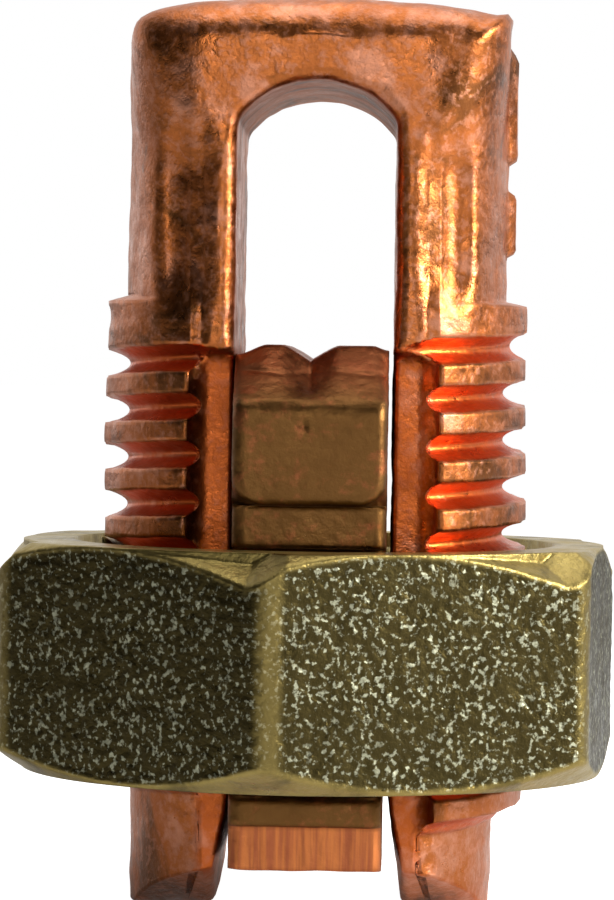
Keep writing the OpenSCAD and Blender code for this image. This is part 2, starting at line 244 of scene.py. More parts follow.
def groove_depth(b, theta, z):
    """Depth of the thread at an angle and height: a round-bottomed groove, once a pitch, on a helix.

    It gets shallower over the last turn under the shoulder.
    """
    pitch, depth, crest, z0, shoulder = millimetres(
        b, "pitch", "thread_depth", "crest_w", "groove_z", "shoulder_z")
    turns = (z - z0) / pitch - theta / (2 * math.pi)
    offset = (turns - np.round(turns)) * pitch
    centre = np.round(turns) + theta / (2 * math.pi)
    last = math.floor((shoulder - z0) / pitch - 0.5)
    fade = np.clip((last + 0.6 - centre) / 0.85, 0, 1)
    reach = np.abs(offset) / ((pitch - crest) / 2)
    return depth * fade * np.clip(1 - reach ** 2.1, 0, 1)


def bolt_limit(b, theta, z):
    """Radius of the bolt's outside: pilot, open first turn, thread, shoulder and the loop's bowed side."""
    thread_d, pilot_d, shoulder, loop_w, bow, pitch, z0 = millimetres(
        b, "thread_d", "pilot_d", "shoulder_z", "loop_w", "side_bow_r", "pitch", "groove_z")
    barrel = thread_d / 2 - 0.05 * smooth(z, 13, 20)
    first = z0 + pitch * (1 + (np.mod(theta + math.pi / 2, 2 * math.pi) - math.pi / 2) / (2 * math.pi))
    pilot = pilot_d / 2 - 0.05 * (1 - z / 3)
    start = pilot + np.clip((z - first + 0.1) * 1.85, 0, 2)
    centre = bow - loop_w / 2
    side = -centre * np.abs(np.cos(theta)) + np.sqrt(bow ** 2 - (centre * np.sin(theta)) ** 2)
    loop = soft_min(side, np.full_like(side, thread_d / 2 - 0.05), 60)
    step = thread_d / 2 - np.clip(z - shoulder + 0.35, 0, 9) * 4.5
    outer = np.where(z < shoulder - 0.35, barrel, np.maximum(loop, np.minimum(barrel, step)))
    outer = np.where(z > shoulder + 0.1, loop, outer)
    return np.minimum(np.minimum(outer, start), barrel - groove_depth(b, theta, z))


def bolt_stations(b):
    """Rays across the bolt, from the left leg's end over the crown to the right leg's end.

    Each ray starts on the middle plane at a height, and leaves at an angle: level on the legs, and
    fanned round the crown's centre over the loop. Gives the heights and angles.
    """
    shoulder, crown_r, crown_t = millimetres(b, "shoulder_z", "crown_r", "crown_t")
    crown_z = BOLT_HIGH[2] - crown_t - crown_r
    leg = np.concatenate([
        np.linspace(0, 2.5, 18, endpoint=False),
        np.linspace(2.5, shoulder + 0.3, 226, endpoint=False),
        np.linspace(shoulder + 0.3, crown_z, 26, endpoint=False)])
    fan = np.radians(np.linspace(180, 0, 125))
    heights = np.concatenate([leg, np.full(len(fan), crown_z), leg[::-1]])
    angles = np.concatenate([np.full(len(leg), math.pi), fan, np.zeros(len(leg))])
    return heights[:, None], angles[:, None], crown_z


def leg_end(x, y):
    """Height of the leg ends: bevels that rise to the front and the back, turned a little."""
    turn, rise = math.radians(14), math.tan(math.radians(29))
    reach = (np.abs(x) - 2.65) * math.sin(turn) + (np.abs(y) - 2.4) * math.cos(turn)
    return np.clip(reach * rise, 0, 1.7)


def front_depth(b, x, z):
    """Half thickness of the bolt beside the slot: full above, stepped down to the relief below."""
    relief_z, depth, radius = millimetres(b, "relief_z", "relief_depth", "relief_r")
    full = BOLT_HIGH[1]
    ridge_x = b.slot_w / MM / 2 + 0.7
    corner = radius - np.sqrt(np.maximum(radius ** 2 - np.clip(x - ridge_x, 0, radius) ** 2, 0))
    dip = np.clip(depth - corner, 0, depth)
    top = np.clip((z - relief_z + radius) / radius, 0, 1)
    return full - dip * np.sqrt(1 - top ** 2)


def bolt_surface(b):
    """Points of the bolt, one closed ring for each station, with the masks that its metal reads.

    Half a ring runs along the slot's wall, round the rim, over the front face and along the outside.
    On the legs the outside is cut back to bolt_limit. Over the loop it turns into a plain bar with
    rounded edges, whose outside follows the box of the head.
    """
    height, angle, crown_z = bolt_stations(b)
    slot_w, crown_r, loop_w, loop_crown, edge_r, relief_z, shoulder, hollow, pad_t, depth = millimetres(
        b, "slot_w", "crown_r", "loop_w", "loop_crown", "edge_r", "relief_z", "shoulder_z",
        "hollow_depth", "pad_t", "thread_depth")
    half_w, half_t, side = slot_w / 2, BOLT_HIGH[1], loop_w / 2
    lift = np.abs(np.sin(angle)).round(9)
    level = np.maximum(np.abs(np.cos(angle)), 1e-6)
    flare = 0.5 * np.clip(1 - height / 4.0, 0, 1) + 0.25 * np.clip(1 - height / 0.3, 0, 1) ** 2
    wall = soft_min(half_w / level, np.full_like(level, crown_r), 50) * 1.0 + flare * (lift == 0)
    wall = np.where(lift == 0, half_w + flare, wall)
    to_side = side / level
    to_top = (BOLT_HIGH[2] - crown_z) / np.maximum(lift, 1e-3)
    to_top = (BOLT_HIGH[2] - crown_z - loop_crown * np.clip(to_top * level / side, 0, 1) ** 2
              ) / np.maximum(lift, 1e-3)
    sharp = np.where(angle > math.pi / 2, 14.0, 34.0)
    outer = soft_min(to_side, to_top, sharp)
    flash = 0.22 * np.exp(-((np.degrees(angle) - 41.5) / 1.5) ** 2)
    outer = outer + flash
    span = outer - wall
    loft = smooth(np.degrees(np.arcsin(np.clip(lift, 0, 1))), 6, 60)

    rim = 0.42 - 0.27 * (height < relief_z - 0.3) * (lift == 0)
    n_wall, n_rim, n_face, n_out = 8, 5, 21, 34
    front = front_depth(b, half_w, height)
    t = np.linspace(0, 1, n_wall, endpoint=False)[None, :]
    u_parts = [np.zeros_like(height) + 0 * t]
    y_parts = [(front - rim) * t]
    t = np.linspace(0, math.pi / 2, n_rim, endpoint=False)[None, :]
    u_parts.append(rim * (1 - np.cos(t)))
    y_parts.append(front - rim + rim * np.sin(t))
    corner_u = 4.15 - half_w
    t = np.linspace(0, 1, n_face, endpoint=False)[None, :]
    u_face = rim + (corner_u - rim) * t
    u_parts.append(u_face)
    y_parts.append(np.where(lift == 0, front_depth(b, wall + u_face, height), half_t + 0 * t))
    t = np.linspace(0, 1, n_out)[None, :]
    turn = math.atan2(half_t, 4.15) * (1 - t)
    leg_u = np.cos(turn) * 8.0 - wall
    leg_y = np.sin(turn) * 8.0
    theta = np.where(angle > 1.0, math.pi - turn, turn)
    bow = -(11.0 - side) * np.cos(turn) + np.sqrt(11.0 ** 2 - ((11.0 - side) * np.sin(turn)) ** 2)
    loop_r = soft_min(bow, np.full_like(bow, 7.1), 60)
    loop_u = (np.cos(turn) * loop_r - half_w) * span / (side - half_w)
    loop_y = np.minimum(np.sin(turn) * loop_r, half_t)
    s1, s2, s3 = span - edge_r - corner_u, edge_r * math.pi / 2, half_t - edge_r
    s = t * (s1 + s2 + s3)
    arc = np.clip((s - s1) / edge_r, 0, math.pi / 2)
    head_u = corner_u + np.clip(s, 0, s1) + edge_r * np.sin(arc)
    head_y = half_t - edge_r * (1 - np.cos(arc)) - np.clip(s - s1 - s2, 0, None)
    out_u = np.where(lift == 0, leg_u, loop_u * (1 - loft) + head_u * loft)
    out_y = np.where(lift == 0, leg_y, loop_y * (1 - loft) + head_y * loft)
    u_parts.append(out_u)
    y_parts.append(out_y)
    u, y = np.concatenate(u_parts, 1), np.concatenate(y_parts, 1)
    u = np.concatenate([u, u[:, -2:0:-1]], 1)
    y = np.concatenate([-y, y[:, -2:0:-1]], 1)

    x = np.cos(angle) * (wall + u)
    z = height + np.sin(angle) * (wall + u)
    on_leg = np.broadcast_to(lift == 0, x.shape)
    radius = np.hypot(x, y)
    theta = np.arctan2(y, x)
    inside = np.minimum(1, bolt_limit(b, theta, z) / radius)
    foot = leg_end(x * inside, y * inside) * on_leg
    z = np.where(on_leg & (z < 3.4), foot + z * (1 - foot / 3.4), z)
    limit = bolt_limit(b, theta, z)
    scale = np.where(on_leg, np.minimum(1, limit / radius), 1)
    x, y = x * scale, y * scale
    on_thread = (scale < 0.9999) & on_leg & (z < shoulder) & (limit > 6.3)
    groove = smooth(groove_depth(b, theta, z) / depth, 0.02, 0.3) * on_thread
    relief = on_leg * (z < relief_z - 0.1) * (np.abs(y) > 4.7) * smooth(-np.abs(x), -3.9, -3.5)

    dent = hollow * np.exp(-((np.abs(x) - 4.4) / 0.75) ** 2) * smooth(z, shoulder - 0.9, shoulder + 0.8)
    ridge = 0.16 * np.clip((np.abs(x) - 3.15) / 0.55, -1, 1) ** 2 * smooth(z, relief_z - 0.2, relief_z + 0.6)
    dent = dent + ridge * (1 - smooth(np.abs(x), 4.4, 5.2))
    dent = dent * (1 - smooth(z, 24.3, 27.0)) * smooth(np.abs(y), 4.4, 5.2)
    y = y - np.sign(y) * dent
    pad = smooth(-np.abs(y), -1.4, -1.15) * (x > side - 1.0)
    low_pad = smooth(z, 21.9, 22.15) * smooth(-z, -24.2, -23.95)
    pads = low_pad + smooth(z, 25.05, 25.3) * smooth(-z, -28.85, -28.6)
    x = x + pad_t * pad * pads

    p = np.stack([x, y, z], -1)
    skin = (1 - groove) * (1 - relief) * smooth(z, 0.2, 1.0)
    bump = 0.022 * wave_noise(x, y, z, 2.6, 30, 3) + 0.009 * wave_noise(x, y, z, 0.7, 30, 4)
    p = p + grid_normals(p) * (bump * skin - 0.02 * skin)[..., None]
    p[..., 1] = np.clip(p[..., 1], -half_t, half_t)
    p[..., 2] = np.clip(p[..., 2], 0, BOLT_HIGH[2])
    return p, groove, relief


def capped(p, levels, end_height):
    """Closes both ends of a run of rings with rings that shrink to a point, at end_height(x, y)."""
    caps = []
    for ring in (p[0], p[-1]):
        middle = ring.mean(axis=0)
        middle[1] = 0
        rings = []
        for k in levels:
            r = ring + (middle - ring) * k
            r[:, 2] = end_height(r[:, 0], r[:, 1])
            rings.append(r)
        caps.append(np.array(rings))
    return np.concatenate([caps[0][::-1], p, caps[1]], 0)


def build_bolt(b, metal):
    """Adds the bolt's surface, with closed leg ends, in place of the plain forging."""
    p, groove, relief = bolt_surface(b)
    levels = (0.04, 0.12, 0.25, 0.4, 0.6, 0.8, 1.0)
    whole = capped(p, levels, leg_end)
    pad = np.zeros((len(levels), p.shape[1]))
    attributes = {
        "groove": np.concatenate([pad, groove, pad]),
        "relief": np.concatenate([pad, relief, pad]),
    }
    faces = grid_faces(*whole.shape[:2])
    return add_piece("bolt_forging", whole, faces, "bolt", metal, attributes, "split_bolt")


# ---- Hex nut ----


def hexagon_radius(n, theta):
    """Radius of a hexagon with rounded corners: straight faces, and an arc about each corner's centre."""
    flat, corner_r = millimetres(n, "across_flats", "corner_r")
    flat /= 2
    centre = (flat - corner_r) / math.cos(math.pi / 6)
    off = (theta - n.turn + math.pi / 6) % (math.pi / 3) - math.pi / 6
    face = flat / np.cos(math.pi / 6 - np.abs(off))
    arc = centre * np.cos(off) + np.sqrt(np.maximum(corner_r ** 2 - (centre * np.sin(off)) ** 2, 0))
    tangent = math.pi / 6 - math.atan2(centre / 2, flat)
    return np.where(np.abs(off) < tangent, arc, face), off


def build_nut(n, metal):
    """Adds the nut: a ring whose outside is the lesser of the hexagon and two cones, and its thread ridge."""
    flat, corner_r, chamfer, bore_d, grain, size = millimetres(
        n, "across_flats", "corner_r", "chamfer", "bore_d", "grain", "grain_size")
    low, high = NUT_LOW[2], NUT_HIGH[2]
    corner = (flat / 2 - corner_r) / math.cos(math.pi / 6) + corner_r
    slope = math.tan(math.radians(31))
    face_r = corner - chamfer / slope
    columns = 820
    theta = np.linspace(0, 2 * math.pi, columns, endpoint=False)[None, :]
    v = np.linspace(0, 1, 94)[:, None]
    z = low + (high - low) * (0.5 - 0.5 * np.cos(math.pi * v)) * 0.35 + (high - low) * v * 0.65
    hexagon, off = hexagon_radius(n, theta)
    ratchet = 0.75 * (0.5 * np.clip(off / 0.06, -1, 1) - off / (math.pi / 3))
    near = np.minimum(z - low, high - z + ratchet * smooth(z, low + 3, high - 1.5))
    cone = face_r + np.maximum(near, 0.02) / slope
    outer = soft_min(hexagon + 0 * z, cone + 0 * theta, 120.0)
    flatness = smooth(cone - hexagon, 0.0, 0.35)
    perimeter = 2 * math.pi * flat / 2
    cells = int(perimeter / size)
    rough = lattice_noise(theta / (2 * math.pi), v, cells, int((high - low) / size), 11)
    rough = rough + 0.6 * lattice_noise(theta / (2 * math.pi), v, 2 * cells, int(2 * (high - low) / size), 12)
    rough = rough / 1.6
    waves = lattice_noise(theta / (2 * math.pi), v, 46, 6, 13)
    outer = outer - grain * flatness * (1.0 - rough) - 0.05 * (1 - waves) * (0.3 + 0.7 * flatness) - 0.006
    x, y = outer * np.cos(theta), outer * np.sin(theta)
    side = np.stack([x, y, z + 0 * theta], -1)
    rings = []
    for level, radii in ((high, (0.985, 0.93, 0.88, 0.83)), (low, (0.83, 0.88, 0.93, 0.985))):
        for share in radii:
            r = face_r * share
            r = max(r, bore_d / 2)
            rings.append(np.stack([r * np.cos(theta[0]), r * np.sin(theta[0]), np.full(columns, level)], -1))
    whole = np.concatenate([side, np.array(rings)], 0)
    extra = np.zeros((8, columns))
    attributes = {
        "flat": np.concatenate([flatness + 0 * theta, extra]),
        "grain": np.concatenate([rough, extra + 0.5]),
        # The corner mask marks a stripe along each upright corner, set a little to one side: wear plus a painted
        # highlight on the rounded corner.
        "corner": np.concatenate([smooth(-np.abs(off - 0.012) + 0 * z, -0.05, -0.02), extra]),
    }
    body = add_piece("nut_body", whole, grid_faces(*whole.shape[:2], wrap_rows=True), "nut",
                     metal, attributes, "hex_nut")
    return body, build_nut_thread(n, metal, low, high)


def build_nut_thread(n, metal, low, high):
    """Adds the nut's thread ridge: a trapezoid swept along the bolt's helix, faded into the countersinks."""
    bore_d, ridge_h, sink = millimetres(n, "bore_d", "ridge_h", "countersink")
    b = bpy.context.scene.bolt_settings
    pitch, z0 = millimetres(b, "pitch", "groove_z")
    root = bore_d / 2
    wide, narrow = (pitch - 0.6) / 2 - 0.08, 0.09
    start, end = (low + wide - z0) / pitch, (high - wide - z0) / pitch
    turns = np.linspace(start, end, int(72 * (end - start)))[:, None]
    centre = z0 + pitch * turns
    fade = np.clip(np.minimum(centre - low, high - centre) / sink, 0.08, 1)
    reach = np.array([0.06, 0, -0.5, -1, -1, -0.5, 0, 0.06])[None, :]
    spread = np.array([-1, -1, -0.5 - narrow, -narrow / wide, narrow / wide, 0.5 + narrow, 1, 1])[None, :]
    radius = root + np.where(reach > 0, reach, reach * ridge_h * fade)
    angle = 2 * math.pi * turns
    p = np.stack([radius * np.cos(angle), radius * np.sin(angle), centre + spread * wide], -1)
    ends = [np.repeat(p[i].mean(axis=0)[None, :], p.shape[1], 0)[None] for i in (0, -1)]
    whole = np.concatenate([ends[0], p, ends[1]], 0)
    shape = whole.shape[:2]
    attributes = {"flat": np.zeros(shape), "grain": np.full(shape, 0.5), "corner": np.zeros(shape)}
    return add_piece("nut_thread", whole, grid_faces(*shape), "nut", metal, attributes)


# ---- Pressure bar ----


def rounded_path(corners, step):
    """Points about step apart along a run of straight lines whose corners are rounded.

    corners holds (length, height, radius). Each corner is replaced by the arc that touches both lines.
    """
    points = [np.array(corners[0][:2], float)]
    for before, here, after in zip(corners, corners[1:], corners[2:]):
        a, c, e = (np.array(q[:2], float) for q in (before, here, after))
        back, on = (a - c) / np.linalg.norm(a - c), (e - c) / np.linalg.norm(e - c)
        half = math.acos(np.clip(back @ on, -1, 1)) / 2
        cut = min(here[2] / math.tan(half), np.linalg.norm(a - c) / 2, np.linalg.norm(e - c) / 2)
        for k in np.linspace(0, 1, 7):
            points.append(c + back * cut * (1 - k) ** 2 + on * cut * k ** 2)
    points.append(np.array(corners[-1][:2], float))
    points = np.array(points)
    run = np.concatenate([[0], np.cumsum(np.linalg.norm(np.diff(points, axis=0), axis=1))])
    s = np.linspace(0, run[-1], int(run[-1] / step))
    return np.interp(s, run, points[:, 0]), np.interp(s, run, points[:, 1])


def build_bar(r, metal):
    """Adds the bar: a rounded rectangle carried down its side outline, widest at the head and the lip."""
    width, head_h, face_h, nose, collar_l, stem_l, foot_l, lip_h, notch_d, edge_r = millimetres(
        r, "width", "head_h", "face_h", "nose_run", "collar_l", "stem_l", "foot_l", "lip_h", "notch_d",
        "edge_r")
    half, top, bottom = BAR_HIGH[1], BAR_HIGH[2], BAR_LOW[2]
    head_z = top - head_h
    collar_z = NUT_HIGH[2] + 0.05
    lip_top = NUT_LOW[2] - 0.25
    lip_z = lip_top - lip_h
    corners = [
        (0, top, 0), (half - nose - 0.25, top, 0.5), (half - 0.1, head_z + face_h, 0.35),
        (half, head_z + face_h - 0.5, 0.6), (half, head_z, 0.55), (collar_l / 2, head_z, 0.1),
        (collar_l / 2, collar_z, 0.12), (stem_l / 2, collar_z, 0.05), (stem_l / 2, lip_top, 0.05),
        (foot_l / 2, lip_top, 0.42), (foot_l / 2, lip_z, 0.42), (foot_l / 2 - 0.16, lip_z - 0.02, 0.04),
        (foot_l / 2 - 0.13, bottom, 0.12), (0, bottom, 0)]
    reach, height = rounded_path(corners, 0.115)
    reach, height = np.maximum(reach, 0)[:, None], height[:, None]
    n_across, n_along, n_corner = 44, 34, 5
    across = np.linspace(-1, 1, n_across)
    along = np.linspace(-1, 1, n_along)[1:-1]
    arc = np.linspace(0, math.pi / 2, n_corner + 2)[1:-1]
    one, none = np.ones, np.zeros
    ux = np.concatenate([across, one(n_corner), one(n_along - 2), one(n_corner), -across,
                         -one(n_corner), -one(n_along - 2), -one(n_corner)])
    uy = np.concatenate([-one(n_across), -one(n_corner), along, one(n_corner), one(n_across),
                         one(n_corner), -along, -one(n_corner)])
    cx = np.concatenate([none(n_across), np.sin(arc), one(n_along - 2), np.cos(arc), none(n_across),
                         -np.sin(arc), -one(n_along - 2), -np.cos(arc)])
    cy = np.concatenate([-one(n_across), -np.cos(arc), none(n_along - 2), np.sin(arc), one(n_across),
                         np.cos(arc), none(n_along - 2), -np.sin(arc)])
    round_r = np.minimum(edge_r, reach)
    x = ux[None, :] * (width / 2 - round_r) + cx[None, :] * round_r
    y = uy[None, :] * (reach - round_r) + cy[None, :] * round_r
    z = height + 0 * x
    low_corner = 0.95
    drop = np.clip(head_z + low_corner - z, 0, low_corner)
    inset = (low_corner - np.sqrt(low_corner ** 2 - drop ** 2)) * (z > head_z - 0.01)
    x = x * (1 - inset / (width / 2) * smooth(np.abs(y), collar_l / 2 - 0.05, collar_l / 2 + 0.1))
    on_top = smooth(z, head_z + face_h - 0.2, top - 0.4)
    vee = notch_d * np.clip(1 - np.abs(x + 0.05) / 0.95, 0, 1) ** 1.25
    slump = 0.34 * smooth(-x, 1.35, 2.5) + 0.16 * smooth(x, 1.9, 2.5)
    z = z - on_top * (vee + slump)
    crease = 0.07 * np.exp(-((z - (head_z + face_h + 1.0) - 0.05 * np.sin(x * 2.3)) / 0.07) ** 2)
    crease = crease + 0.05 * np.exp(-((z - (head_z + face_h) - 0.04 * np.sin(x * 1.7)) / 0.08) ** 2)
    pit = 0.12 * np.exp(-((x + 0.2) ** 2 + (z - head_z - 2.6) ** 2) / 0.14 ** 2)
    on_face = smooth(np.abs(y), half - nose - 0.6, half - nose)
    y = y - np.sign(y) * on_face * (crease + pit * (y < 0))
    shear = smooth(-z, -lip_z + 0.02, -lip_z + 0.1) * smooth(np.abs(y), foot_l / 2 - 0.6, foot_l / 2 - 0.3)
    lines = wave_noise(x * 7.0, 0 * y, z * 0.35, 2.2, 24, 21)
    y = y - np.sign(y) * shear * 0.014 * (1 + lines)
    z = z + 0.05 * smooth(-z, -bottom - 0.25, -bottom) * (1 + wave_noise(x, 0 * y, 0 * z, 1.7, 6, 22)) / 2
    p = np.stack([x, y, z], -1)
    skin = 1 - shear
    bump = 0.012 * wave_noise(x, y, z, 1.9, 24, 23) + 0.006 * wave_noise(x, y, z, 0.5, 24, 24)
    p = p + grid_normals(p) * (skin * (bump - 0.012))[..., None]
    p[..., 0] = np.clip(p[..., 0] - 0.06, BAR_LOW[0] - 0.05, BAR_HIGH[0])
    p[..., 1] = np.clip(p[..., 1], BAR_LOW[1], BAR_HIGH[1])
    p[..., 2] = np.clip(p[..., 2], bottom, top)
    attributes = {"shear": shear, "saddle": on_top + 0 * x, "crease": crease / 0.07 * on_face}
    return add_piece("bar", p, grid_faces(*p.shape[:2]), "bar", metal, attributes,
                     "pressure_bar")


# ---- Metals ----


def new_group(name, inputs, outputs):
    """A shader node group with named sockets. inputs holds (name, kind, default)."""
    group = bpy.data.node_groups.new(name, "ShaderNodeTree")
    for label, kind, default in inputs:
        socket = group.interface.new_socket(label, in_out="INPUT", socket_type=kind)
        if default is not None:
            socket.default_value = default
    for label, kind in outputs:
        group.interface.new_socket(label, in_out="OUTPUT", socket_type=kind)
    return group, group.nodes.new("NodeGroupInput"), group.nodes.new("NodeGroupOutput")


def node(tree, kind, inputs=None, **settings):
    """Adds a node, sets its properties, and sets or links its inputs by name or number."""
    made = tree.nodes.new(kind)
    for key, value in settings.items():
        setattr(made, key, value)
    for key, value in (inputs or {}).items():
        if isinstance(value, bpy.types.NodeSocket):
            tree.links.new(value, made.inputs[key])
        else:
            made.inputs[key].default_value = value
    return made


def ramp(tree, value, low, high, invert=False):
    """Maps a value from low..high to 0..1 smoothly, or to 1..0."""
    ends = (1.0, 0.0) if invert else (0.0, 1.0)
    made = node(tree, "ShaderNodeMapRange", {"Value": value, "From Min": low, "From Max": high,
                                             "To Min": ends[0], "To Max": ends[1]},
                interpolation_type="SMOOTHSTEP")
    return made.outputs["Result"]


def maths(tree, operation, a, b=0.0):
    """A Math node's result."""
    return node(tree, "ShaderNodeMath", {0: a, 1: b}, operation=operation).outputs[0]


def blend_colour(tree, factor, a, b, mode="MIX"):
    """A Mix node for colours."""
    made = tree.nodes.new("ShaderNodeMix")
    made.data_type = "RGBA"
    made.blend_type = mode
    for key, value in (("Factor", factor), ("A", a), ("B", b)):
        kind = "VALUE" if key == "Factor" else "RGBA"
        socket = next(s for s in made.inputs if s.name == key and s.type == kind)
        if isinstance(value, bpy.types.NodeSocket):
            tree.links.new(value, socket)
        elif key == "Factor":
            socket.default_value = value
        else:
            socket.default_value = (*value, 1.0)[:4]
    return next(s for s in made.outputs if s.type == "RGBA")


def grain_group():
    """Fine grain: a speckle mask, a height for bumps and a roughness that varies with both."""
    group, source, sink = new_group(
        "metal_grain",
        [("Vector", "NodeSocketVector", None), ("Size", "NodeSocketFloat", 3000.0),
         ("Roughness", "NodeSocketFloat", 0.4), ("Spread", "NodeSocketFloat", 0.2)],
        [("Speckle", "NodeSocketFloat"), ("Height", "NodeSocketFloat"), ("Roughness", "NodeSocketFloat")])
    fine = node(group, "ShaderNodeTexNoise", {"Vector": source.outputs["Vector"],
                                              "Scale": source.outputs["Size"], "Detail": 3.0, "Roughness": 0.6})
    wide = node(group, "ShaderNodeTexNoise", {"Vector": source.outputs["Vector"], "Detail": 4.0,
                                              "Scale": maths(group, "MULTIPLY", source.outputs["Size"], 0.18)})
    speckle = ramp(group, fine.outputs["Fac"], 0.5, 0.66)
    height = maths(group, "ADD", fine.outputs["Fac"], maths(group, "MULTIPLY", wide.outputs["Fac"], 1.4))
    shift = maths(group, "SUBTRACT", maths(group, "ADD", fine.outputs["Fac"], wide.outputs["Fac"]), 1.0)
    shift = maths(group, "MULTIPLY", shift, source.outputs["Spread"])
    rough = maths(group, "ADD", source.outputs["Roughness"], shift)
    for label, value in (("Speckle", speckle), ("Height", height), ("Roughness", rough)):
        group.links.new(value, sink.inputs[label])
    return group


def tarnish_group():
    """Broad patches: where the skin is blushed, and where it is dark with tarnish."""
    group, source, sink = new_group(
        "metal_tarnish",
        [("Vector", "NodeSocketVector", None), ("Size", "NodeSocketFloat", 300.0)],
        [("Blush", "NodeSocketFloat"), ("Dark", "NodeSocketFloat")])
    broad = node(group, "ShaderNodeTexNoise", {"Vector": source.outputs["Vector"], "Detail": 6.0,
                                               "Scale": source.outputs["Size"], "Roughness": 0.65, "Distortion": 0.6})
    fine = node(group, "ShaderNodeTexNoise", {"Vector": source.outputs["Vector"], "Detail": 5.0,
                                              "Scale": maths(group, "MULTIPLY", source.outputs["Size"], 3.7),
                                              "Roughness": 0.7})
    both = maths(group, "MULTIPLY", maths(group, "ADD", broad.outputs["Fac"], fine.outputs["Fac"]), 0.5)
    group.links.new(ramp(group, both, 0.5, 0.62), sink.inputs["Blush"])
    group.links.new(ramp(group, broad.outputs["Fac"], 0.36, 0.52, invert=True), sink.inputs["Dark"])
    return group


def attribute(tree, name):
    """A mask stored on the piece's points."""
    return node(tree, "ShaderNodeAttribute", attribute_name=name).outputs["Fac"]


def new_metal(name):
    """A material with a metallic shader, its tree, its object coordinates and its shader."""
    material = bpy.data.materials.new(name)
    material.use_nodes = True
    tree = material.node_tree
    tree.nodes.clear()
    shader = node(tree, "ShaderNodeBsdfPrincipled", {"Metallic": 1.0})
    out = tree.nodes.new("ShaderNodeOutputMaterial")
    tree.links.new(shader.outputs["BSDF"], out.inputs["Surface"])
    vector = tree.nodes.new("ShaderNodeTexCoord").outputs["Object"]
    return material, tree, vector, shader


def finish_metal(tree, shader, base, rough, height, distance, strength=1.0):
    """Links colour, roughness and bump to the shader."""
    bump = node(tree, "ShaderNodeBump", {"Height": height, "Distance": distance, "Strength": strength})
    tree.links.new(base, shader.inputs["Base Color"])
    tree.links.new(rough, shader.inputs["Roughness"])
    tree.links.new(bump.outputs["Normal"], shader.inputs["Normal"])


def forged_copper(b, grain, tarnish):
    """Forged skin with blush and tarnish, and bright orange where the thread and the relief are cut."""
    material, tree, vector, shader = new_metal("forged_copper")
    skin = tree.nodes.new("ShaderNodeGroup")
    skin.node_tree = grain
    patch = tree.nodes.new("ShaderNodeGroup")
    patch.node_tree = tarnish
    tree.links.new(vector, skin.inputs["Vector"])
    tree.links.new(vector, patch.inputs["Vector"])
    skin.inputs["Size"].default_value = 3600.0
    skin.inputs["Roughness"].default_value = 0.38
    skin.inputs["Spread"].default_value = 0.45
    patch.inputs["Size"].default_value = 260.0
    forged = blend_colour(tree, maths(tree, "MULTIPLY", patch.outputs["Blush"], 0.6), b.forged[:], b.blush[:])
    forged = blend_colour(tree, maths(tree, "MULTIPLY", patch.outputs["Dark"], 0.85), forged, b.tarnish[:])
    forged = blend_colour(tree, maths(tree, "MULTIPLY", skin.outputs["Speckle"], 0.35), forged, b.blush[:])
    cut = blend_colour(tree, maths(tree, "MULTIPLY", patch.outputs["Blush"], 0.35), b.cut[:], b.blush[:])
    relief = maths(tree, "MULTIPLY", attribute(tree, "relief"), 0.6)
    fresh = maths(tree, "MAXIMUM", attribute(tree, "groove"), relief)
    base = blend_colour(tree, fresh, forged, cut)
    finish_metal(tree, shader, base, skin.outputs["Roughness"], skin.outputs["Height"], 0.00006, 0.5)
    return material


def bronze(n, grain, tarnish):
    """Smooth olive chamfers and dark rough flats, whose high grains carry painted glints."""
    material, tree, vector, shader = new_metal("bronze")
    skin = tree.nodes.new("ShaderNodeGroup")
    skin.node_tree = grain
    patch = tree.nodes.new("ShaderNodeGroup")
    patch.node_tree = tarnish
    tree.links.new(vector, skin.inputs["Vector"])
    tree.links.new(vector, patch.inputs["Vector"])
    skin.inputs["Size"].default_value = 4200.0
    skin.inputs["Roughness"].default_value = 0.4
    skin.inputs["Spread"].default_value = 0.4
    patch.inputs["Size"].default_value = 420.0
    flat = attribute(tree, "flat")
    # Painted glints: the high grains of the flats get the bright speck colour, which stands in for light caught by
    # their facets.
    painted_glint_noise = node(tree, "ShaderNodeTexNoise", {"Vector": vector, "Scale": 5200.0, "Detail": 2.0, "Roughness": 0.55})
    high = ramp(tree, painted_glint_noise.outputs["Fac"], 0.53, 0.68)
    smooth_part = blend_colour(tree, maths(tree, "MULTIPLY", patch.outputs["Dark"], 0.5), n.bronze[:], n.dark[:])
    rough_part = blend_colour(tree, high, n.dark[:], n.speck[:])
    rough_part = blend_colour(tree, maths(tree, "MULTIPLY", patch.outputs["Dark"], 0.5), rough_part, n.dark[:])
    # Wear plus painted highlight: the lighter chamfer colour along each upright corner stands in for the worn edge
    # and for the highlight that the rounded corner catches.
    corner_wear_and_highlight = maths(tree, "MULTIPLY", attribute(tree, "corner"), 0.5)
    rough_part = blend_colour(tree, corner_wear_and_highlight, rough_part, n.bronze[:])
    base = blend_colour(tree, flat, smooth_part, rough_part)
    finish_metal(tree, shader, base, skin.outputs["Roughness"], skin.outputs["Height"], 0.00006, 0.6)
    return material


